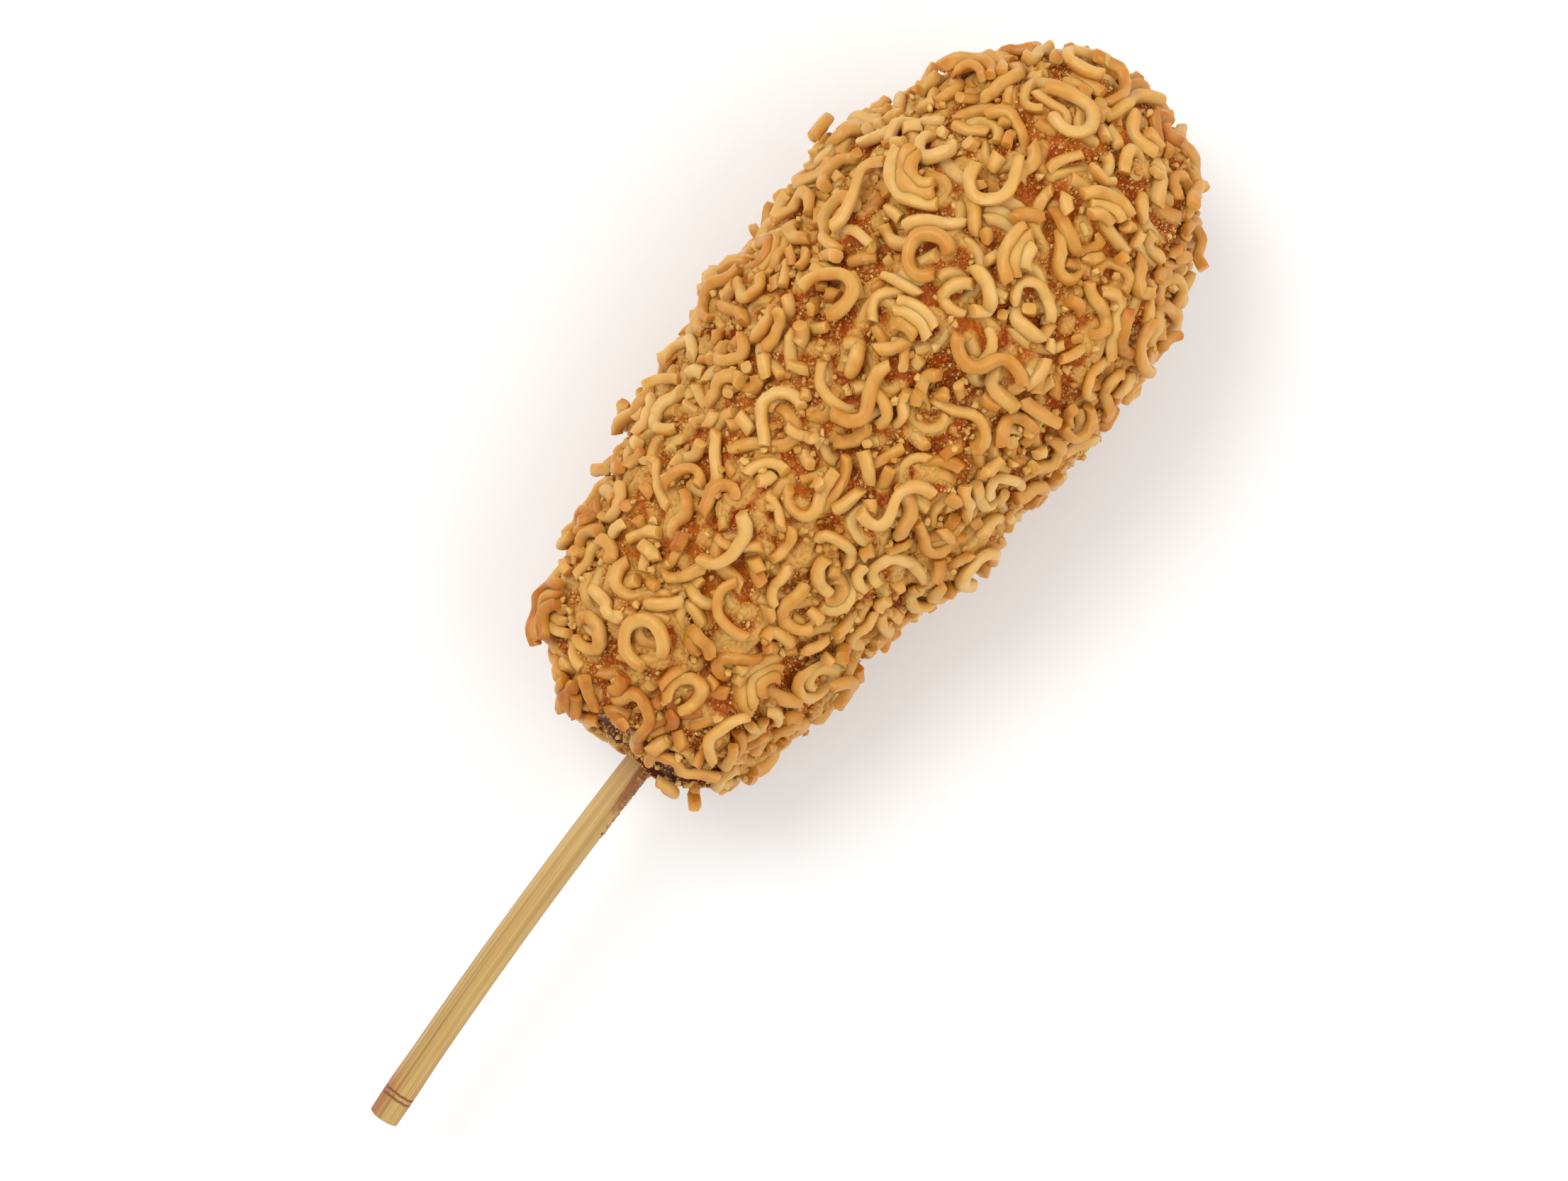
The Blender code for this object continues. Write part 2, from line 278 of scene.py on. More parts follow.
def fibre_relief(along, side):
    """How far the stick's surface stands out at a place on it."""
    across = side * (skewer_radius / FIBRE_WIDTH)
    ridge = noise.noise(Vector((along / FIBRE_LENGTH, across.x, across.y)))
    facet = noise.noise(Vector((along / (3 * FIBRE_LENGTH), side.x * FACETS, side.y * FACETS + 9)))
    groove = sum(math.exp(-((along - ring) / NODE_RING_WIDTH) ** 2) for ring in NODE_RINGS)
    swelling = max(0.0, 1 - abs(along - NODE_RINGS[1]) / NODE_REACH)
    return (FIBRE_RELIEF * ridge + FACET_RELIEF * (facet - FACET_CUT)
            + NODE_SWELLING * swelling - NODE_RING_DEPTH * groove)


def make_skewer():
    """A circle drawn out ring by ring along the skewer's line, then given its fibres. Each
    corner keeps its place on the stick, for the grain: how far along, and its two offsets."""
    frames = stations(skewer_line, SKEWER_STEP)
    bm = bmesh.new()
    bmesh.ops.create_circle(bm, segments=SKEWER_SIDES, radius=skewer_radius, matrix=frames[0])
    grain = bm.verts.layers.float_vector.new("grain")
    edges = bm.edges[:]
    rings = [(frames[0], 0.0, bm.verts[:])]
    for before, now in zip(frames, frames[1:]):
        grown = bmesh.ops.extrude_edge_only(bm, edges=edges)["geom"]
        corners = [part for part in grown if isinstance(part, bmesh.types.BMVert)]
        edges = [part for part in grown if isinstance(part, bmesh.types.BMEdge)]
        bmesh.ops.transform(bm, matrix=now @ before.inverted(), verts=corners)
        along = rings[-1][1] + (now.translation - before.translation).length
        rings.append((now, along, corners))
    for at, along, corners in rings:
        for corner in corners:
            out = at.inverted() @ corner.co
            corner[grain] = (along, out.x, out.y)
            side = out.xy.normalized()
            corner.co += at.to_3x3() @ side.to_3d() * fibre_relief(along, side)
    caps = bmesh.ops.holes_fill(bm, edges=[edge for edge in bm.edges if edge.is_boundary])
    bmesh.ops.recalc_face_normals(bm, faces=bm.faces)
    bmesh.ops.inset_individual(bm, faces=caps["faces"], thickness=END_CHAMFER,
                               depth=END_CHAMFER / 2, use_even_offset=True)
    return bm


packed_rings = skewer_rings()
skewer_line = [sum(ring, Vector()) / len(ring) for ring in packed_rings]
skewer_radius = (packed_rings[-1][0] - skewer_line[-1]).length
skewer_line[0] += (skewer_line[1] - skewer_line[0]).normalized() * END_CHAMFER
skewer = hand_over(make_skewer(), "bamboo_skewer", bamboo_material())
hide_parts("skewer")

# ---------------------------------------------------------------------------------------
# Dough
# A thick wheat batter, dipped and fried whole: the smaller core inside the noodles,
# swollen and held by the skewer. Its webs are drawn up, and the piece is finished, once
# the noodles lie on it.

CORE_DEPTH = 2.6 * MM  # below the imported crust's outline
CORE_GRAIN = 0.66 * MM  # size of the core's faces
CORE_SMOOTHING = 40
PLUG_START = 4 * MM  # the dough closes round the skewer this far in
PLUG_SIDES = 16
PLUG_WIDTH = 1.4  # of the skewer's
PROUD_SUPPORT = 1.5 * MM  # the core's rise under the noodles that stand proud
PROUD_REACH = 4.5 * MM
proud_nodes = sorted(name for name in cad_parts
                     if name.startswith("noodle_") and name != "noodle_crust")


def fill_bore(bm):
    """Closes the skewer's bore with a plug, but for a little way in at its mouth."""
    inner = max(skewer_line, key=lambda centre: centre.x)
    bored = [centre for centre in skewer_line if centre.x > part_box("noodle_crust")[0].x]
    way = (inner - bored[0]).normalized()
    start, end = bored[0] + way * PLUG_START, inner + way * MM
    turn = way.to_track_quat("Z", "Y").to_matrix().to_4x4()
    radius = PLUG_WIDTH * skewer_radius
    bmesh.ops.create_cone(bm, cap_ends=True, segments=PLUG_SIDES, radius1=radius, radius2=radius,
                          depth=(end - start).length,
                          matrix=Matrix.Translation((start + end) / 2) @ turn)


def shaped_by(bm, *modifiers):
    """The shape that modifiers, (kind, settings), make of a rough one."""
    mesh = bpy.data.meshes.new("rough")
    bm.to_mesh(mesh)
    bm.free()
    rough = bpy.data.objects.new("rough", mesh)
    bpy.context.scene.collection.objects.link(rough)
    for kind, settings in modifiers:
        modifier = rough.modifiers.new(kind, kind)
        for name, value in settings.items():
            setattr(modifier, name, value)
    shaped = rough.evaluated_get(bpy.context.evaluated_depsgraph_get())
    skin = bmesh.new()
    skin.from_mesh(shaped.to_mesh())
    bpy.data.objects.remove(rough)
    bpy.data.meshes.remove(mesh)
    skin.normal_update()
    return skin


def proud_places():
    """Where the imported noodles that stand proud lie, as a search tree of their corners."""
    corners = [vert.co for node in proud_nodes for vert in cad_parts[node].data.vertices]
    tree = KDTree(len(corners))
    for number, corner in enumerate(corners):
        tree.insert(corner, number)
    tree.balance()
    return tree


def make_core():
    """The dough before any noodle is on it."""
    bm = merged_copy("noodle_crust")
    fill_bore(bm)
    skin = shaped_by(bm, ("REMESH", {"mode": "VOXEL", "voxel_size": CORE_GRAIN}),
                     ("SMOOTH", {"iterations": CORE_SMOOTHING}))
    proud = proud_places()
    for vert in skin.verts:
        away = proud.find(vert.co)[2]
        rise = PROUD_SUPPORT * max(0.0, 1 - (away / PROUD_REACH) ** 2)
        vert.co -= vert.normal * (CORE_DEPTH - rise)
    bmesh.ops.smooth_vert(skin, verts=skin.verts, factor=0.5, use_axis_x=True,
                          use_axis_y=True, use_axis_z=True)
    skin.normal_update()
    return skin


core = make_core()
core_tree = BVHTree.FromBMesh(core)

# ---------------------------------------------------------------------------------------
# Noodles
# Fried wheat noodles, broken by hand and pressed into the batter. Each is a bit of a
# strand that its mould waved in tight bends, and some still hang together as ribbons.
# They lie where there is room, sunk a little in the dough, and ride up over each other.

STRAND_RADIUS = 1.04 * MM
STRAND_SIDES = 12
STRAND_STEP = 0.85 * MM  # between a strand's rings
SQUARENESS = 3.6  # noodles are cut square from a sheet: 2 would be round
SQUARE_REACH = 0.94  # of the radius, from a squared strand's middle to its flats
THINNEST = (0.80, 1.0)  # of a strand's width, its thickness
TWIST = (-0.16, 0.16)  # of a strand's section, in radians a step
THICKNESS = (0.91, 1.06)  # of the radius
WAISTING = 0.10  # how unevenly thick a strand is along its length
WAIST_LENGTH = 3.5  # steps
TOUCH = 1.72 * MM  # between the centres of strands that are fried together
SUNK_HEIGHT = (0.30 * MM, 0.80 * MM)  # of a strand's centre above the dough
DRAPE = 0.42  # the steepest that a strand rides up over another
EVENED = 2 * MM  # the length over which a strand's outward directions are evened
LIFTED_SHARE = 0.30  # of the strands have one end standing up
LIFTED_RISE = (0.6 * MM, 1.9 * MM)
BREAK_SLANT = 0.38
BREAK_ROUGHNESS = 0.08  # of the radius
BREAK_PINCH = 0.94
BREAK_INSET = 0.16  # of the radius, the rounded rim of a broken end
BREAK_DOME = 0.07
UNEVENNESS = 0.20 * MM
UNEVEN_SIZE = 2.2 * MM
PRESSED = 0.05 * MM  # the lowest noodles are pressed flat this far above the table
RIBBON_PITCH = 1.62  # mm between a ribbon's strands
NEST_PITCH = 1.35
NEST_CLIMB = 0.7  # mm that each of a nest's strands lies above the next
SWIRL_BENDS = 4
SWIRL_SWEEP = 160
SWIRL_TIGHTENING = 0.78  # mm from one bend to the next
BROWN_PATCH = 19 * MM  # size of the patches where the crust is browner
DARK_END = 35 * MM  # the crust is browner this far from its skewer end
TIP_BROWNING = 1.6 * MM  # a broken end is browner this far in
SEED = 11

rng = random.Random(SEED)
noise.seed_set(SEED)  # or else the clock sets it
body_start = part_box("noodle_crust")[0].x


def between(low, high):
    return rng.uniform(low, high)


def either(value):
    return value if rng.random() < 0.5 else -value


def draw_line(start, heading, bends):
    """A strand's centre line drawn flat, as arcs that follow each other, with its rings'
    places along it. A bend is a radius in mm and a sweep in degrees."""
    point = Vector(start)
    line = [point.copy()]
    for radius, sweep in bends:
        radius, sweep = radius * MM, math.radians(sweep)
        steps = max(1, round(radius * abs(sweep) / STRAND_STEP))
        turn = sweep / steps
        chord = 2 * radius * math.sin(abs(turn) / 2)
        for _ in range(steps):
            way = heading + turn / 2
            point = point + chord * Vector((math.cos(way), math.sin(way)))
            heading += turn
            line.append(point.copy())
    return line


def single(*bends):
    """One strand, centred where it lies. All forms are lists of such strands, each as its
    (start, heading, bends, lift)."""
    line = draw_line((0, 0), 0, bends)
    middle = (Vector(map(min, zip(*line))) + Vector(map(max, zip(*line)))) / 2
    return [(-middle, 0.0, bends, 0.0)]


def hook():
    turn = either(1)
    return single((between(2.0, 3.2), turn * between(140, 205)),
                  (between(5, 12), either(between(12, 40))))


def loop():
    turn = either(1)
    return single((between(2.1, 3.0), turn * between(170, 230)),
                  (between(2.4, 3.4), turn * between(40, 75)))


def wave():
    turn = either(1)
    return single((between(1.8, 2.6), turn * between(80, 140)),
                  (between(1.8, 2.6), -turn * between(70, 130)))


def crook():
    turn = either(1)
    return single((between(1.7, 2.8), turn * between(75, 140)),
                  (between(5, 9), -turn * between(18, 50)))


def arch():
    turn = either(1)
    return single((between(2.3, 4.2), turn * between(40, 90)),
                  (between(3.0, 6.0), turn * between(20, 50)))


def chip():
    return single((between(3.5, 9), either(between(22, 46))))


def stub():
    return single((between(6, 16), either(between(6, 14))))


def swirl():
    """A strand that winds inwards like a snail."""
    turn = either(1)
    outer = between(3.9, 4.9)
    return single(*((outer - SWIRL_TIGHTENING * number, turn * SWIRL_SWEEP)
                    for number in range(SWIRL_BENDS)))


def ribbon(strands, radius, sweep, ragged, pitch=RIBBON_PITCH, climb=0.0):
    """Strands fried side by side, bent round one centre, their ends broken unevenly. With
    a climb, each lies partly on the one before it."""
    laid = []
    shift = Vector((radius + (strands - 1) * pitch / 2, 0)) * MM
    for number in range(strands):
        own_radius = radius + number * pitch
        start = math.radians(-sweep / 2 + between(-ragged, ragged))
        end = math.radians(sweep / 2 + between(-ragged, ragged))
        at = own_radius * MM * Vector((math.cos(start), math.sin(start))) - shift
        bends = [(own_radius, math.degrees(end - start))]
        laid.append((at, start + math.pi / 2, bends, (strands - 1 - number) * climb * MM))
    return laid


def nest():
    return ribbon(rng.choice((2, 3, 3, 4)), between(1.7, 2.6), between(140, 250), 24,
                  NEST_PITCH, NEST_CLIMB)


def wedge():
    return ribbon(rng.choice((2, 2, 3, 3)), between(3.0, 6.5), between(40, 90), 14)


# Room on the dough: how high a strand's centre must and may lie over each of its faces.
# Some patches stay bare, most of all round the skewer, where the noodles came off.
ROOM_LIMIT = 3.4 * MM
CLOSED = -1.0  # nothing may lie there
CAST_FROM = 9 * MM  # above the dough, where a strand is drawn before it is let down
STEEPEST = 0.55  # how far the dough may turn away under a strand, as a cosine
MOUTH_BARE = 4.6 * MM  # round the skewer
UNDER_PROUD = 0.8  # of the radius: how far out a proud noodle keeps others under it
FUSED = 0.5  # of the radius: how near they keep to it
BARE_PATCH = 6 * MM
BARE_LEVEL = 0.62  # of the noise, above which the dough stays bare
BARE_BY_MOUTH = 1.1  # less than that by the skewer
BARE_LEAST = 0.16
BURNT_REACH = 29 * MM  # from the skewer's mouth
BOX_MARGIN = 1.12  # of the radius, from a strand's centre to the sides of the whole
LOWEST = 0.7  # of the radius, from a strand's centre to the table

box_low = np.array(cad_box[0]) + BOX_MARGIN * STRAND_RADIUS
box_high = np.array(cad_box[1]) - BOX_MARGIN * STRAND_RADIUS
box_low[2] = LOWEST * STRAND_RADIUS
inner_low = np.array(cad_box[0]) + PRESSED
inner_high = np.array(cad_box[1]) - PRESSED
mouth = min(skewer_line, key=lambda centre: abs(centre.x - body_start))
core.faces.ensure_lookup_table()
core.verts.ensure_lookup_table()
must_clear = [0.0] * len(core.faces)
may_reach = [ROOM_LIMIT] * len(core.faces)
strand_points = []  # the centre lines of all that is laid

face_tree = KDTree(len(core.faces))
for number, face in enumerate(core.faces):
    place = face.calc_center_median()
    face_tree.insert(place, number)
    by_mouth = max(0.0, 1 - (place - mouth).length / BURNT_REACH)
    level = max(BARE_LEAST, BARE_LEVEL - BARE_BY_MOUTH * by_mouth)
    if noise.noise(place / BARE_PATCH) > level:
        may_reach[number] = CLOSED
face_tree.balance()
for _, number, _ in face_tree.find_range(mouth, MOUTH_BARE):
    may_reach[number] = CLOSED
for node in proud_nodes:
    bm = merged_copy(node)
    for vert in bm.verts:
        foot, _, _, height = core_tree.find_nearest(vert.co)
        for _, number, _ in face_tree.find_range(foot, UNDER_PROUD * STRAND_RADIUS):
            under = max(SUNK_HEIGHT[0], height - FUSED * STRAND_RADIUS)
            may_reach[number] = min(may_reach[number], under)
    bm.free()


def random_spot():
    """A frame on the dough, Z outward, turned at random."""
    vert = rng.choice(core.verts)
    turn = Matrix.Rotation(between(0, math.tau), 4, "Z")
    outward = vert.normal.to_track_quat("Z", "Y").to_matrix().to_4x4()
    return Matrix.Translation(vert.co) @ outward @ turn


def unit(rows):
    return rows / np.linalg.norm(rows, axis=1)[:, None]


def lay(strands, spot, limit, steepest):
    """Lays flat-drawn strands on the dough, riding up over what is there. Returns the
    centre line and outward directions of each, or nothing where there is no room."""
    outward = spot.to_3x3() @ Vector((0, 0, 1))
    feet, ways, needed, allowed = [], [], [], []
    sunk = between(*SUNK_HEIGHT)
    for start, heading, bends, lift in strands:
        for point in draw_line(start, heading, bends):
            above = spot @ point.to_3d() + outward * CAST_FROM
            foot, way, face, _ = core_tree.ray_cast(above, -outward)
            if foot is None or way.dot(outward) < steepest:
                return None
            feet.append(foot)
            ways.append(way)
            needed.append(max(sunk, must_clear[face]) + lift)
            allowed.append(min(limit, may_reach[face]))
    feet = np.array(feet)
    apart = np.linalg.norm(feet[:, None] - feet[None, :], axis=2)
    heights = (np.array(needed)[None, :] - DRAPE * apart).max(axis=1)
    if (heights > np.array(allowed)).any():
        return None
    ways = unit(np.exp(-(apart / EVENED) ** 2) @ np.array(ways))
    if rng.random() < LIFTED_SHARE:
        share = apart[0] / max(apart[0].max(), STRAND_STEP)
        heights = heights + between(*LIFTED_RISE) * share ** 2
    centres = feet + ways * heights[:, None]
    if (centres < box_low).any() or (centres > box_high).any():
        return None
    for foot, height in zip(feet, heights):
        for _, number, away in face_tree.find_range(foot, TOUCH):
            over = height + math.sqrt(TOUCH ** 2 - away ** 2)
            must_clear[number] = max(must_clear[number], over)
    return centres, ways


def spin_strand(start, heading, bends, radius):
    """A strand drawn flat: a ring spun round each bend in turn, with broken, flat ends."""
    bm = bmesh.new()
    upright = Matrix.Rotation(heading, 4, "Z") @ Matrix.Rotation(math.pi / 2, 4, "Y")
    bmesh.ops.create_circle(bm, segments=STRAND_SIDES, radius=radius,
                            matrix=Matrix.Translation(start.to_3d()) @ upright)
    edges = bm.edges[:]
    point = start.to_3d()
    for bend, sweep in bends:
        side = Vector((-math.sin(heading), math.cos(heading), 0))
        side *= math.copysign(bend * MM, sweep)
        steps = max(1, round(bend * MM * math.radians(abs(sweep)) / STRAND_STEP))
        spun = bmesh.ops.spin(bm, geom=edges, cent=point + side, axis=(0, 0, 1),
                              angle=math.radians(sweep), steps=steps)
        edges = [part for part in spun["geom_last"] if isinstance(part, bmesh.types.BMEdge)]
        point = point + side - Matrix.Rotation(math.radians(sweep), 3, "Z") @ side
        heading += math.radians(sweep)
    caps = bmesh.ops.holes_fill(bm, edges=[edge for edge in bm.edges if edge.is_boundary])
    bmesh.ops.recalc_face_normals(bm, faces=bm.faces)
    for cap in caps["faces"]:
        break_end(cap, radius)
    bmesh.ops.inset_individual(bm, faces=caps["faces"], thickness=BREAK_INSET * radius,
                               depth=BREAK_DOME * radius, use_even_offset=True)
    return bm


def break_end(cap, radius):
    """Slants a strand's end, as a brittle noodle breaks, and pinches it a little."""
    way = cap.normal.copy()
    middle = cap.calc_center_median()
    tilt = Vector((between(-1, 1), between(-1, 1), between(-1, 1))) * BREAK_SLANT
    for corner in cap.verts:
        out = corner.co - middle
        rough = between(-BREAK_ROUGHNESS, BREAK_ROUGHNESS) * radius
        corner.co = middle + out * BREAK_PINCH + way * (out.dot(tilt) + rough)


def squared(across, upward, near):
    """Gives a round strand the square section that it was cut with, twisted and uneven."""
    corner = np.arctan2(upward, across) + math.pi / STRAND_SIDES
    section = np.abs(np.cos(corner)) ** SQUARENESS + np.abs(np.sin(corner)) ** SQUARENESS
    waist = 1 + WAISTING * np.sin(near / WAIST_LENGTH * between(0.7, 1.3) + between(0, math.tau))
    reach = np.hypot(across, upward) * SQUARE_REACH * section ** (-1 / SQUARENESS) * waist
    thin = between(*THINNEST)
    wide, high = reach * np.cos(corner), reach * np.sin(corner) * thin
    turn = between(0, math.pi) + between(*TWIST) * near
    return wide * np.cos(turn) - high * np.sin(turn), wide * np.sin(turn) + high * np.cos(turn)


def bend_onto(bm, line, centres, ways):
    """Carries a flat-drawn strand to its centre line, its top turned outward."""
    ahead = unit(np.gradient(centres, axis=0))
    left = unit(np.cross(ways, ahead))
    top = np.cross(ahead, left)
    flat = np.array(line)
    flat_ahead = unit(np.gradient(flat, axis=0))
    corners = np.array([vert.co for vert in bm.verts])
    near = np.linalg.norm(corners[:, None, :2] - flat[None], axis=2).argmin(axis=1)
    out = corners[:, :2] - flat[near]
    along = (out * flat_ahead[near]).sum(axis=1)
    across = out[:, 1] * flat_ahead[near, 0] - out[:, 0] * flat_ahead[near, 1]
    across, upward = squared(across, corners[:, 2], near)
    placed = (centres[near] + ahead[near] * along[:, None] + left[near] * across[:, None]
              + top[near] * upward[:, None])
    for vert, place in zip(bm.verts, placed):
        place = Vector(place)
        place += noise.noise_vector(place / UNEVEN_SIZE) * UNEVENNESS
        vert.co = np.clip(place, inner_low, inner_high)


def tint(bm, line, toast):
    """Marks how brown each corner is fried, more at the broken ends, and darkens its underside
    with painted shade.
    """
    layer = bm.verts.layers.float.new("toast")
    ends = (Vector(line[0]), Vector(line[-1]))
    for vert in bm.verts:
        from_end = min((vert.co.xy - end).length for end in ends)
        # painted shade: the half of each strand that faces the dough is made browner, as if in its
        # shadow
        under = 0.5 - 0.5 * vert.co.z / STRAND_RADIUS
        vert[layer] = toast + 0.15 * max(0.0, 1 - from_end / TIP_BROWNING) + 0.34 * under


def browned(place):
    """The crust is browner in patches, and more at its skewer end."""
    patch = noise.noise(place / BROWN_PATCH)
    end = max(0.0, 1 - (place.x - body_start) / DARK_END)
    return 0.20 + 0.32 * patch + 0.10 * end + between(-0.13, 0.13)


def pour(pile, bm):
    """Adds one shape to a pile of them."""
    mesh = bpy.data.meshes.new("one")
    bm.to_mesh(mesh)
    bm.free()
    pile.from_mesh(mesh)
    bpy.data.meshes.remove(mesh)


def settle(pile, strands, spot, limit, steepest=STEEPEST):
    """Lays one noodle at a spot and pours it on its pile, if there is room for it."""
    found = lay(strands, spot, limit, steepest)
    if found is None:
        return False
    centres, ways = found
    toast = browned(Vector(centres[0]))
    first = 0
    for start, heading, bends, _ in strands:
        line = draw_line(start, heading, bends)
        part = slice(first, first + len(line))
        first += len(line)
        bm = spin_strand(start, heading, bends, STRAND_RADIUS * between(*THICKNESS))
        tint(bm, line, toast + between(-0.06, 0.06))
        bend_onto(bm, line, centres[part], ways[part])
        pour(pile, bm)
        strand_points.extend(centres[part])
    return True


def scatter(pile, form, count, limit, tries=14):
    """Lays up to count noodles of one form on the dough."""
    laid = 0
    for _ in range(count * tries):
        if laid == count:
            break
        laid += settle(pile, form(), random_spot(), limit)


def noodle_material():
    """Fried wheat: pale gold to orange-brown with its toasting and the painted shade on each
    strand's underside, and a little waxy.
    """
    material, tree, shader = new_material("fried_noodle")
    place = add(tree, "ShaderNodeTexCoord").outputs["Object"]
    toast = add(tree, "ShaderNodeAttribute", attribute_name="toast").outputs["Fac"]
    fried = varied(tree, toast, cloud(tree, place, 2.6 * MM, 3), 0.55)
    colour = ramp(tree, fried, (0.0, srgb(216, 178, 108)), (0.35, srgb(209, 161, 82)),
                  (0.65, srgb(197, 135, 50)), (1.0, srgb(170, 88, 14)))
    tree.links.new(colour, shader.inputs["Base Color"])
    shader.inputs["Roughness"].default_value = 0.40
    shader.inputs["Specular IOR Level"].default_value = 0.36
    shader.inputs["Subsurface Weight"].default_value = 0.6
    shader.inputs["Subsurface Radius"].default_value = (1.0, 0.48, 0.16)
    shader.inputs["Subsurface Scale"].default_value = 1.7 * MM
    grain = cloud(tree, place, 0.40 * MM, 3)
    bump = add(tree, "ShaderNodeBump", Height=grain, Strength=0.22, Distance=0.10 * MM)
    tree.links.new(bump.outputs[0], shader.inputs["Normal"])
    return material


# The noodles on the crown are seen one by one, so they are listed one by one as drawn from above:
# where each starts, in mm, its heading in degrees, and its (radius, sweep) bends. One that finds
# no room there is nudged, a little further each time, and left out if that doesn't help.
CROWN_LIMIT = 3.3 * MM
CROWN_STEEPEST = 0.3
CROWN_TRIES = 30
CROWN_NUDGE = 0.07 * MM
CROWN_TURN = 0.7  # degrees
crown = (
    (61.5, 3, -75, ((4.8, -105), (9, -25))),
    (54.5, 2, 10, ((2, -125),)),
    (74.5, 13.5, 10, ((3, -170),)),
    (75.5, 14.5, 5, ((6, -35), (3, -125))),
    (79.5, 11.5, -45, ((4.2, -110),)),
    (69, 13, -103, ((14, 20),)),
    (70.5, 15, -45, ((5, -45),)),
    (80.5, 3, -162, ((12, 12), (1.3, 120), (8, 10))),
    (78, 0, 12, ((5, -60),)),
    (77, -1.5, -15, ((14, -22),)),
    (81, -5, -70, ((2.4, 150),)),
    (71, -3.5, 70, ((2.8, -120),)),
    (66.5, -11, 68, ((4.5, -100),)),
    (68.5, -10, -50, ((9, -38),)),
    (61, -11.5, -65, ((5, 52), (30, 5))),
    (66, -17, -28, ((11, 38),)),
    (71, -14.5, 12, ((2.5, -195),)),
    (77, -16, 93, ((20, -12), (2, -120))),
    (82, -20, 92, ((20, -10), (2.6, -85))),
    (87.5, -13, 205, ((3.8, 110),)),
    (80, -15.5, -152, ((3.2, 60), (14, 10))),
    (81, -16.5, -170, ((2.3, 80), (12, 8))),
    (92, -12, -165, ((2, 75), (10, -12))),
    (88, -11, 68, ((14, -8), (1.5, 150), (12, 10))),
    (90.5, -3.5, 40, ((4.5, -115),)),
    (86, 11, -38, ((7, 20), (2.4, 110), (20, 5))),
    (35.5, 17.5, -88, ((1.6, 135), (16, 5))),
    (43, 21.5, -150, ((10, 25),)),
    (43, 20, 35, ((20, 5),)),
    (34.5, 13, -97, ((5.2, 62),)),
    (30.5, 10.5, 50, ((9, -35),)),
    (31, 10.5, -70, ((14, 10),)),
    (37.5, 12.5, -75, ((5, 40),)),
    (40.5, 6.5, -122, ((30, 5),)),
    (43.5, 4.5, -105, ((9, -22),)),
    (44.5, 0.5, -128, ((7, -35),)),
    (47, 9, -24, ((30, 5),)),
    (50, 11.5, 52, ((4.2, -60),)),
    (48.5, 13.5, -60, ((12, 18),)),
    (45, 9, 60, ((9, -20),)),
    (46, 18.5, -35, ((4.5, -62),)),
    (50, 18, -5, ((3.2, -85), (20, 5))),
    (49.5, 23.5, -98, ((40, 3),)),
    (39.5, -8.5, 95, ((2.8, -150),)),
    (37, -6.5, -105, ((14, 12), (2.4, 125))),
    (45.5, -7.5, -125, ((30, 5),)),
    (58.5, -5, -72, ((20, -5),)),
    (56, -11, -112, ((5, 75), (14, 8))),
    (57, -16.5, 25, ((14, 8),)),
    (26.5, -6, -98, ((2.2, 85), (16, 14))),
    (31.5, -13.5, -18, ((5, -68),)),
    (30.5, -15, -22, ((4, -62),)),
    (26, -20.5, 50, ((4.3, -80),)),
    (38, -20, 65, ((4.6, -52), (20, -5))),
    (44, -14, -5, ((3.4, -88),)),
    (45.5, -25.5, 78, ((3.8, -95),)),
    (58, -22.5, -120, ((2.6, 225),)),
    (49, -19, -35, ((12, -12),)),
    (57.5, -18.5, -38, ((14, 20),)),
    (68.5, -22.5, -20, ((5, 60),)),
    (66, -25.5, -75, ((3.2, 125),)),
    (80, -22, -60, ((3, 140),)),
    (-2, 5, -112, ((11, 26),)),
    (-10.5, -2, 68, ((14, -8), (1.6, -170), (12, -12))),
    (-13.5, 10.5, 20, ((40, 6),)),
    (-11, 9.5, -48, ((30, 5),)),
    (-7, 8, -65, ((3, 50), (20, 12))),
    (-0.5, 5.5, 12, ((20, 6),)),
    (10, 4, -2, ((40, 8),)),
    (12, 1, -8, ((40, 8),)),
    (5.5, 15, 98, ((3.7, -125),)),
    (6, 20, 52, ((3.3, -95),)),
    (-3.5, 19, 60, ((6, -62),)),
    (-3.5, 16.5, 40, ((9, -30),)),
    (20, 16, 95, ((8, -38), (30, 8))),
    (21.5, 18.5, 35, ((3.4, -85),)),
    (24, 14, -80, ((1.5, 130),)),
    (14.5, 12.5, 40, ((4.3, -85),)),
    (10, 15, -88, ((2.6, 75), (20, 5))),
    (1, 9.5, 30, ((3.6, -90),)),
    (3, 16.5, -92, ((4, 48),)),
    (13.5, -2, 15, ((1.9, -230),)),
    (24, -3.5, 118, ((2.4, -60), (30, 8))),
    (17, -6, -20, ((9, 58),)),
    (18.5, -7.5, -28, ((10, 28),)),
    (6.5, -17.5, -3, ((40, -12),)),
    (1, -16.5, -12, ((6.5, -65),)),
    (-8, -8.5, -70, ((2.4, 65), (30, 5))),
    (8, -7, -92, ((2.4, 65), (20, 5))),
    (-15, -9.5, -95, ((4.5, 48),)),
    (-23, -5.5, 85, ((2.8, -105),)),
    (-18.5, -3.5, -5, ((7, -50),)),
    (-25, -0.5, 5, ((20, -14),)),
    (-27, 0.5, 185, ((4, 60),)),
    (-25, -12, -40, ((2.2, -100),)),
    (-18.5, 12, -115, ((10, 30),)),
    (-14, 8, 192, ((4.6, 50),)),
    (-10, 16, 82, ((3.4, -125),)),
    (-14.5, 12.5, 15, ((20, 10),)),
)
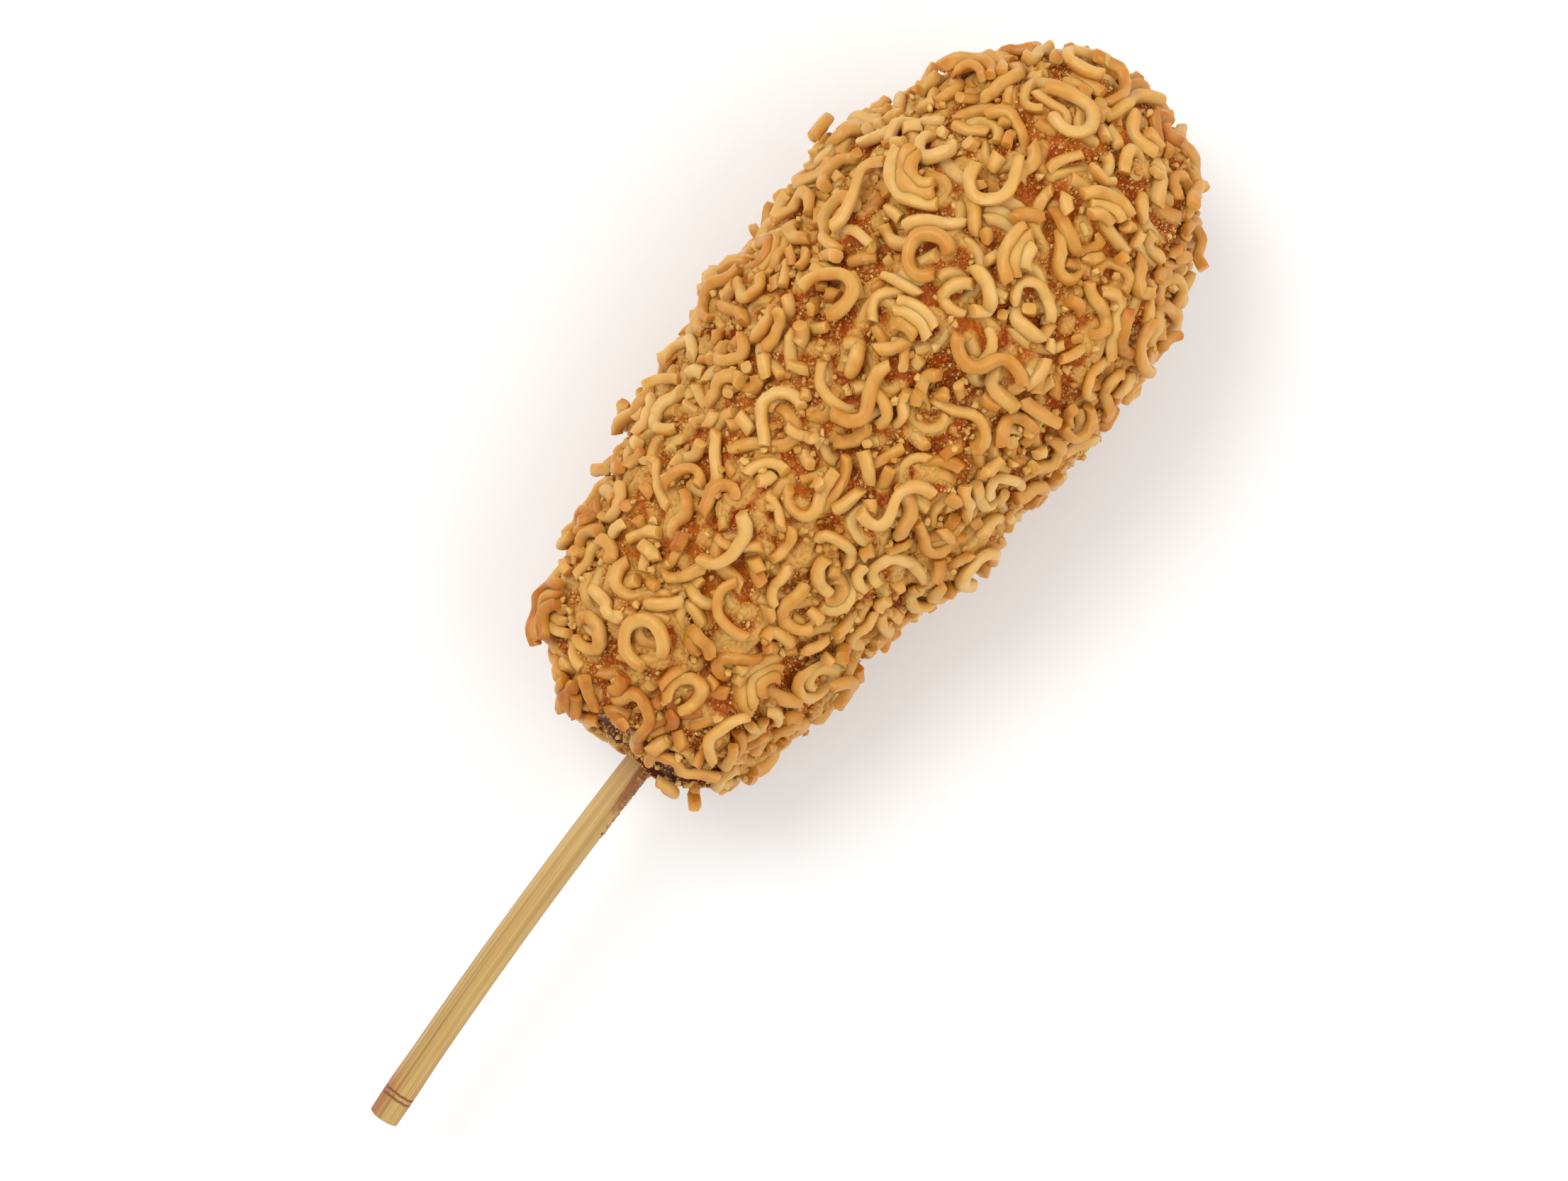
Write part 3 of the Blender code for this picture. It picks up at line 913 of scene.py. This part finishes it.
# Then the rest, the large forms first and the second round on top of the first:
# (pile, form, how many, how high a strand's centre may lie)
FIRST = 1.25 * MM
SECOND = 2.7 * MM
rounds = (
    ("nests", swirl, 2, SECOND), ("nests", nest, 30, SECOND), ("wedges", wedge, 44, FIRST),
    ("hooks", hook, 120, FIRST), ("loops", loop, 30, FIRST), ("waves", wave, 12, FIRST),
    ("crooks", crook, 90, FIRST), ("arches", arch, 130, FIRST), ("chips", chip, 300, FIRST),
    ("stubs", stub, 220, FIRST),
    ("hooks", hook, 130, SECOND), ("loops", loop, 24, SECOND), ("waves", wave, 8, SECOND),
    ("crooks", crook, 110, SECOND), ("arches", arch, 210, SECOND), ("chips", chip, 280, SECOND),
    ("stubs", stub, 120, SECOND),
)
piles = {name: bmesh.new() for name in
         ("crown", "hooks", "loops", "waves", "crooks", "arches", "nests", "wedges", "chips",
          "stubs")}

overhead = Matrix.Translation((0, 0, cad_box[1][2]))
for x, y, heading, bends in crown:
    for nudge in range(CROWN_TRIES):
        push = nudge * CROWN_NUDGE
        start = Vector((x, y)) * MM + Vector((between(-push, push), between(-push, push)))
        turned = math.radians(heading + nudge * between(-CROWN_TURN, CROWN_TURN))
        strand = (start, turned, bends, 0.0)
        if settle(piles["crown"], [strand], overhead, CROWN_LIMIT, CROWN_STEEPEST):
            break
for pile, form, count, limit in rounds:
    scatter(piles[pile], form, count, limit)

fried_noodle = noodle_material()
for name, pile in piles.items():
    piece = hand_over(pile, f"noodle_{name}", fried_noodle)
    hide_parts("noodle_crust")

# ---------------------------------------------------------------------------------------
# Proud noodles
# The curls that stand clear of the crust, each fried onto the noodles under it. A ribbon
# is three strands that never came apart, and its two broken ends tell how it is bent.

RIBBON_STRANDS = 3
RIBBON_RAGGED = (-2, 14)  # degrees that each strand's end falls short
RIBBON_WARP = 0.35 * MM  # how far its strands ride up and down
WARP_TURN = 0.9  # radians of that from one ring to the next
CURL_WANDER = 6 * MM  # the size of the noise that moves a curl off its packed line
CURL_STRAY = 1.0 * MM  # and how far
PROUD_TOAST = (0.10, 0.34)
RIBBON_BROWNER = 0.35  # for ribbons at the skewer end
FLAT_TURN = math.radians(0.5)  # faces that turn less are one flat face
NEARLY_STRAIGHT = math.radians(1)
body_middle = sum(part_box("noodle_crust"), Vector()) / 2


def broken_ends(bm):
    """A packed noodle's two flat ends, its faces with the most corners."""
    bmesh.ops.dissolve_limit(bm, angle_limit=FLAT_TURN, verts=bm.verts, edges=bm.edges)
    return sorted(bm.faces, key=lambda face: len(face.verts))[-2:]


def bend_of(node):
    """How a packed ribbon is bent: a frame at its bend's centre, its radius and sweep."""
    bm = merged_copy(node)
    ends = broken_ends(bm)
    places = [end.calc_center_median() for end in ends]
    ways = [end.normal.copy() for end in ends]
    bm.free()
    axis = ways[0].cross(ways[1]).normalized()
    if axis.dot(places[0] - body_middle) < 0:
        axis.negate()
    planes = np.array([ways[0], ways[1], axis])
    centre = Vector(np.linalg.solve(planes, [ways[0].dot(places[0]), ways[1].dot(places[1]),
                                             axis.dot(places[0])]))
    arms = [place - centre for place in places]
    middle = (arms[0] + arms[1]).normalized()
    turn = Matrix((middle, axis.cross(middle), axis)).transposed().to_4x4()
    sweep = math.degrees(arms[0].angle(arms[1]))
    return Matrix.Translation(centre) @ turn, arms[0].length, sweep


def fry_ribbon(node):
    """Three strands side by side along a packed ribbon's bend."""
    at, radius, sweep = bend_of(node)
    upright = at.to_3x3() @ Vector((0, 0, 1))
    by_skewer = max(0.0, 1 - (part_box(node)[0].x - body_start) / DARK_END)
    toast = between(*PROUD_TOAST) + RIBBON_BROWNER * by_skewer
    pile = bmesh.new()
    for number in range(RIBBON_STRANDS):
        own = radius + (number - 1) * RIBBON_PITCH * MM
        start = math.radians(-sweep / 2 + between(*RIBBON_RAGGED))
        end = math.radians(sweep / 2 - between(*RIBBON_RAGGED))
        first = own * Vector((math.cos(start), math.sin(start)))
        bends = [(own / MM, math.degrees(end - start))]
        line = draw_line(first, start + math.pi / 2, bends)
        bm = spin_strand(first, start + math.pi / 2, bends, STRAND_RADIUS * between(*THICKNESS))
        tint(bm, line, toast + between(-0.05, 0.05))
        phase = between(0, math.tau)
        warp = [RIBBON_WARP * math.sin(phase + WARP_TURN * step) for step in range(len(line))]
        centres = [at @ Vector((*point, rise)) for point, rise in zip(line, warp)]
        bend_onto(bm, line, np.array(centres), np.array([upright] * len(line)))
        pour(pile, bm)
    return pile


def centre_line(node):
    """The middles of a packed curl's rings of corners, from one broken end to the other."""
    bm = merged_copy(node)
    ring = list(broken_ends(bm)[0].verts)
    seen, middles = set(), []
    while ring:
        middles.append(sum((vert.co for vert in ring), Vector()) / len(ring))
        seen.update(ring)
        beyond = [edge.other_vert(vert) for vert in ring for edge in vert.link_edges]
        ring = [vert for vert in dict.fromkeys(beyond) if vert not in seen]
    bm.free()
    return middles


def resampled(points, count):
    """A line's points read again at even steps, softened between them."""
    points = np.array(points)
    gone = np.concatenate(([0], np.cumsum(np.linalg.norm(np.diff(points, axis=0), axis=1))))
    steps = np.linspace(0, gone[-1], count)
    even = np.column_stack([np.interp(steps, gone, axis) for axis in points.T])
    soft = even.copy()
    soft[1:-1] = (even[:-2] + 2 * even[1:-1] + even[2:]) / 4
    return soft


def fry_curl(node):
    """One strand, drawn nearly straight and carried onto a packed curl's centre line."""
    middles = centre_line(node)
    length = sum((b - a).length for a, b in zip(middles, middles[1:]))
    bends = [(length / NEARLY_STRAIGHT / MM, math.degrees(NEARLY_STRAIGHT))]
    line = draw_line((0, 0), 0, bends)
    centres = resampled(middles, len(line))
    centres += np.array([noise.noise_vector(Vector(centre) / CURL_WANDER) * CURL_STRAY
                         for centre in centres])
    ways = unit(centres - np.array([[x, body_middle.y, body_middle.z] for x in centres[:, 0]]))
    bm = spin_strand(Vector((0, 0)), 0.0, bends, STRAND_RADIUS * between(*THICKNESS))
    tint(bm, line, between(*PROUD_TOAST))
    bend_onto(bm, line, centres, ways)
    return bm


for node in proud_nodes:
    ribboned = "nest" in node or "wedge" in node
    shape = fry_ribbon(node) if ribboned else fry_curl(node)
    piece = hand_over(shape, node.replace("noodle", "proud"), fried_noodle)
    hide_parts(node)

# ---------------------------------------------------------------------------------------
# Webs of batter
# The wet batter climbs the sides of each noodle pressed into it and fries there as a waxy
# web, gold like the noodle. Between them it blisters and turns red-brown, and maroon
# round the skewer, where few noodles held.

WEB_REACH = 1.5 * MM
WEB_HEIGHT = 1.2 * MM
WEB_PATCH = 12 * MM  # size of the patches where the batter lay thicker
WEB_THICK_REACH = 75 * MM  # the batter ran towards the skewer as it hung to fry
WAXY = 0.8  # of that height, for all webs
WAXY_BY_PATCH = 0.8
WAXY_WHERE_THICK = 0.5
WAXY_LOST = 0.5  # by the skewer
GOLDEN_REACH = 1.0 * MM  # from a noodle, half as far again where the batter is thick
GOLDEN_LOST = 0.7  # of the gold, burnt away by the skewer
LUMPS = ((5 * MM, 0.45 * MM), (1.7 * MM, 0.38 * MM))  # size and height


def raise_webs():
    """Draws the batter up round the noodles, and marks each corner's nearness to one and
    how burnt it is. Returns each corner's gap to a noodle."""
    strands = KDTree(len(strand_points))
    for number, point in enumerate(strand_points):
        strands.insert(point, number)
    strands.balance()
    near = core.verts.layers.float.new("near")
    burnt = core.verts.layers.float.new("burnt")
    gaps = []
    for vert in core.verts:
        gap = strands.find(vert.co)[2] - STRAND_RADIUS
        gaps.append(gap)
        from_mouth = min(1.0, (vert.co - mouth).length / BURNT_REACH)
        thick = max(0.0, min(1.0, 1 - (vert.co.x - body_start) / WEB_THICK_REACH))
        thick *= from_mouth ** 2
        waxy = (WAXY + WAXY_BY_PATCH * noise.noise(vert.co / WEB_PATCH)
                + WAXY_WHERE_THICK * thick - WAXY_LOST * (1 - from_mouth))
        web = WEB_HEIGHT * waxy * max(0.0, 1 - max(0.0, gap) / WEB_REACH) ** 2
        lumps = sum(height * noise.noise(vert.co / size) for size, height in LUMPS)
        golden = 1 - gap / (GOLDEN_REACH * (1 + 0.5 * thick)) - GOLDEN_LOST * (1 - from_mouth)
        vert[near] = max(0.0, min(1.0, golden))
        vert[burnt] = 1 - from_mouth
        vert.co += vert.normal * (web + lumps)
        vert.co.z = max(vert.co.z, PRESSED)
    return gaps


gaps = raise_webs()
core.normal_update()

# ---------------------------------------------------------------------------------------
# Crumbs
# What the noodles shed as they were broken: shards lodged between the noodles, and flakes
# and a golden grit that stuck to the open dough, thick in some hollows and missing from
# others.

CRUMB_SHAPES = 14
CRUMB_PATCH = 10 * MM
CRUMB_CLUMP = 2.4 * MM
CLUMPING = 0.9  # of the clumps against the patches
# (name, how many, smallest and largest across)
CRUMB_SIZES = (("shards", 380, 1.3 * MM, 2.6 * MM), ("flakes", 2000, 0.8 * MM, 1.7 * MM),
               ("crumbs", 10000, 0.4 * MM, 0.85 * MM), ("grit", 20000, 0.24 * MM, 0.55 * MM))
CRUMB_GAP = 0.3  # of its size: how near to a noodle a crumb lies
CRUMB_RISE = (0.1, 0.4)  # of its size, above the dough
CRUMB_TOAST = (0.0, 0.75)
SHARD_SIZE = 1.25 * MM  # larger bits are lodged as shards are
SHARD_GAP = 0.7 * MM  # at most, to a noodle
SHARD_HEIGHT = (0.3 * MM, 1.0 * MM)  # above the dough
ROUND_BIT = 0.7 * MM  # larger bits have the most faces
BLOCKY_BIT = 0.3 * MM  # smaller ones have the fewest


def broken_bit(size):
    """One angular bit, about one unit across. The smaller it is, the plainer."""
    bm = bmesh.new()
    if size > ROUND_BIT:
        bmesh.ops.create_icosphere(bm, subdivisions=1, radius=0.5)
    elif size > BLOCKY_BIT:
        bmesh.ops.create_cube(bm, size=0.7)
    else:
        bmesh.ops.create_cone(bm, cap_ends=True, segments=3, radius1=0.6, radius2=0, depth=0.9)
    for vert in bm.verts:
        vert.co.x *= between(0.7, 1.5)
        vert.co.y *= between(0.5, 1.2)
        vert.co.z *= between(0.4, 1.0)
    bm.verts.layers.float.new("toast")
    return bm


def put_down(pile, bm, at, toast):
    """Turns and sizes one bit by a frame, browns it and pours it on its pile."""
    bmesh.ops.transform(bm, matrix=at, verts=bm.verts)
    layer = bm.verts.layers.float["toast"]
    for corner in bm.verts:
        corner[layer] = toast
        corner.co = np.clip(corner.co, inner_low, inner_high)
    pour(pile, bm)


def strew(count, smallest, largest):
    """Scatters bits on the open dough, and returns them as one pile."""
    bits = [broken_bit(smallest) for _ in range(CRUMB_SHAPES)]
    pile = bmesh.new()
    laid = 0
    while laid < count:
        vert = rng.choice(core.verts)
        size = smallest + (largest - smallest) * rng.random() ** 2
        patch = noise.noise(vert.co / CRUMB_PATCH) + CLUMPING * noise.noise(vert.co / CRUMB_CLUMP)
        gap = gaps[vert.index]
        lodged = size > SHARD_SIZE
        if lodged and gap > SHARD_GAP:
            continue
        if not lodged and (gap < CRUMB_GAP * size or between(-0.6, 0.4) > patch):
            continue
        rise = between(*SHARD_HEIGHT) if lodged else size * between(*CRUMB_RISE)
        at = vert.co + vert.normal * rise
        turn = Euler([between(0, math.tau) for _ in range(3)]).to_matrix().to_4x4()
        put_down(pile, bits[laid % CRUMB_SHAPES].copy(),
                 Matrix.Translation(at) @ turn @ Matrix.Scale(size, 4), between(*CRUMB_TOAST))
        laid += 1
    for bit in bits:
        bit.free()
    return pile


def crumb_material():
    material, tree, shader = new_material("fried_crumb")
    toast = add(tree, "ShaderNodeAttribute", attribute_name="toast").outputs["Fac"]
    place = add(tree, "ShaderNodeTexCoord").outputs["Object"]
    fried = varied(tree, toast, cloud(tree, place, 0.9 * MM, 2), 0.5)
    colour = ramp(tree, fried, (0.0, srgb(218, 176, 98)), (0.4, srgb(206, 152, 66)),
                  (0.8, srgb(180, 110, 32)), (1.0, srgb(124, 62, 20)))
    tree.links.new(colour, shader.inputs["Base Color"])
    shader.inputs["Roughness"].default_value = 0.5
    shader.inputs["Subsurface Weight"].default_value = 0.12
    shader.inputs["Subsurface Radius"].default_value = (1.0, 0.45, 0.18)
    shader.inputs["Subsurface Scale"].default_value = 0.6 * MM
    return material


fried_crumb = crumb_material()
for name, count, smallest, largest in CRUMB_SIZES:
    piece = hand_over(strew(count, smallest, largest), f"noodle_{name}", fried_crumb)
    piece.data.shade_flat()
    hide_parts("noodle_crust")

# ---------------------------------------------------------------------------------------
# Residue on the skewer
# Batter that ran a little way down one side of the skewer from the dough, and burnt on in
# small scabs, each half sunk in the oiled wood.

RESIDUE_BITS = 420
RESIDUE_REACH = 13 * MM
RESIDUE_START = 2 * MM  # inside the dough
RESIDUE_SIZE = (0.25 * MM, 0.85 * MM)
RESIDUE_FLATNESS = 0.6
RESIDUE_SPREAD = 62  # degrees to either side
RESIDUE_SUNK = 0.16 * MM
RESIDUE_TOAST = (0.55, 1.05)


def residue():
    pile = bmesh.new()
    along, aside, above = np.array(skewer_line).T
    for _ in range(RESIDUE_BITS):
        away = rng.random() ** 2
        x = body_start + RESIDUE_START - RESIDUE_REACH * away
        side = math.radians(between(-RESIDUE_SPREAD, RESIDUE_SPREAD)) * (1 - 0.5 * away)
        outward = Vector((0, -math.cos(side), math.sin(side)))
        centre = Vector((x, np.interp(x, along, aside), np.interp(x, along, above)))
        place = centre + outward * (skewer_radius - RESIDUE_SUNK)
        turn = Matrix.Rotation(between(0, math.tau), 4, "Z")
        turn = outward.to_track_quat("Z", "Y").to_matrix().to_4x4() @ turn
        size = between(*RESIDUE_SIZE)
        flat = Matrix.Diagonal((size, size, RESIDUE_FLATNESS * size, 1))
        put_down(pile, broken_bit(RESIDUE_SIZE[1]), Matrix.Translation(place) @ turn @ flat,
                 between(*RESIDUE_TOAST))
    return pile


hand_over(residue(), "skewer_residue", fried_crumb)

# ---------------------------------------------------------------------------------------
# Finished dough
# The core with its webs, now that nothing more is put on it. It is fried batter all
# through, so only its colour tells the open dough from the webs and the burnt end.


def dough_material():
    """Fried batter: red-brown and specked where it is open, gold where it is a web."""
    material, tree, shader = new_material("fried_dough")
    place = add(tree, "ShaderNodeTexCoord").outputs["Object"]
    near = add(tree, "ShaderNodeAttribute", attribute_name="near").outputs["Fac"]
    burnt = add(tree, "ShaderNodeAttribute", attribute_name="burnt").outputs["Fac"]
    blot = cloud(tree, place, 9 * MM, 4)
    speck = cloud(tree, place, 0.55 * MM, 3)
    open_dough = ramp(tree, blot, (0.34, srgb(144, 52, 2)), (0.50, srgb(170, 76, 8)),
                      (0.66, srgb(190, 100, 20)))
    specks = rising(tree, speck, 0.48, 0.66, 0.6)
    open_dough = mix(tree, specks, open_dough, srgb(204, 142, 58))
    char = rising(tree, varied(tree, burnt, blot, 0.8), 0.18, 0.52, 0.95)
    open_dough = mix(tree, char, open_dough, srgb(82, 26, 7))
    web = ramp(tree, speck, (0.35, srgb(192, 134, 58)), (0.6, srgb(207, 159, 84)))
    edge = rising(tree, varied(tree, near, speck, 0.35), 0.52, 0.92)
    tree.links.new(mix(tree, edge, open_dough, web), shader.inputs["Base Color"])
    shader.inputs["Roughness"].default_value = 0.55
    shader.inputs["Specular IOR Level"].default_value = 0.14
    shader.inputs["Subsurface Weight"].default_value = 0.30
    shader.inputs["Subsurface Radius"].default_value = (1.0, 0.35, 0.08)
    shader.inputs["Subsurface Scale"].default_value = 1.2 * MM
    bump = add(tree, "ShaderNodeBump", Height=speck, Strength=0.9, Distance=0.35 * MM)
    tree.links.new(bump.outputs[0], shader.inputs["Normal"])
    return material


dough = hand_over(core, "dough", dough_material())
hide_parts("noodle_crust")

# ---------------------------------------------------------------------------------------
# Table, light and camera
# A plain pale table, a broad soft light from the upper left, and a camera that looks
# straight down on the side that lies uppermost.

TABLE_REACH = 1.5
TABLE_COLOUR = (0.93, 0.93, 0.93, 1)
BODY_SLANT = math.radians(50.25)  # the body lies this steeply across the view
VIEW_WIDTH = 0.2458  # at the body's axis
LENS = 100
SENSOR = 36
KEY_PLACE = (-0.30, 0.30, 0.75)  # to the right of the aim, up the view and above the table
KEY_SIZE = 0.5
KEY_POWER = 3.3
KEY_COLOUR = (1, 0.99, 0.965)
FILL_PLACE = (0.45, -0.1, 0.55)
FILL_SIZE = 0.7
FILL_POWER = 1.7
FILL_COLOUR = (1, 0.99, 0.98)
SKY_STRENGTH = 0.73


def make_table():
    bm = bmesh.new()
    bmesh.ops.create_grid(bm, x_segments=1, y_segments=1, size=TABLE_REACH)
    mesh = bpy.data.meshes.new("table")
    bm.to_mesh(mesh)
    bm.free()
    material, _, shader = new_material("pale_table")
    shader.inputs["Base Color"].default_value = TABLE_COLOUR
    shader.inputs["Roughness"].default_value = 0.8
    mesh.materials.append(material)
    table = bpy.data.objects.new("table", mesh)
    bpy.context.scene.collection.objects.link(table)


def make_camera():
    """Aims the camera at the middle of the whole, and returns the view's right and up."""
    low, high = cad_box
    centre = (Vector(low) + Vector(high)) / 2
    right = Vector((math.cos(BODY_SLANT), -math.sin(BODY_SLANT), 0))
    up = Vector((math.sin(BODY_SLANT), math.cos(BODY_SLANT), 0))
    corners = [vert.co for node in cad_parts.values() for vert in node.data.vertices]
    across = [corner.dot(right) for corner in corners]
    upward = [corner.dot(up) for corner in corners]
    aim = right * (min(across) + max(across)) / 2 + up * (min(upward) + max(upward)) / 2
    data = bpy.data.cameras.new("camera")
    data.lens = LENS
    data.sensor_width = SENSOR
    camera = bpy.data.objects.new("camera", data)
    camera.location = aim + Vector((0, 0, centre.z + VIEW_WIDTH * LENS / SENSOR))
    camera.rotation_euler = (0, 0, -BODY_SLANT)
    bpy.context.scene.collection.objects.link(camera)
    bpy.context.scene.camera = camera
    return right, up, aim


def make_light(name, place, size, power, colour):
    data = bpy.data.lights.new(name, "AREA")
    data.shape = "DISK"
    data.size = size
    data.energy = power
    data.color = colour
    light = bpy.data.objects.new(name, data)
    light.location = aim + right * place[0] + up * place[1] + Vector((0, 0, place[2]))
    light.rotation_euler = (aim - light.location).to_track_quat("-Z", "Y").to_euler()
    bpy.context.scene.collection.objects.link(light)


make_table()
right, up, aim = make_camera()
make_light("key", KEY_PLACE, KEY_SIZE, KEY_POWER, KEY_COLOUR)
make_light("fill", FILL_PLACE, FILL_SIZE, FILL_POWER, FILL_COLOUR)
world = bpy.data.worlds.new("studio")
world.use_nodes = True
world.node_tree.nodes["Background"].inputs["Color"].default_value = (1, 1, 1, 1)
world.node_tree.nodes["Background"].inputs["Strength"].default_value = SKY_STRENGTH
bpy.context.scene.world = world
bpy.context.scene.view_settings.view_transform = "Standard"
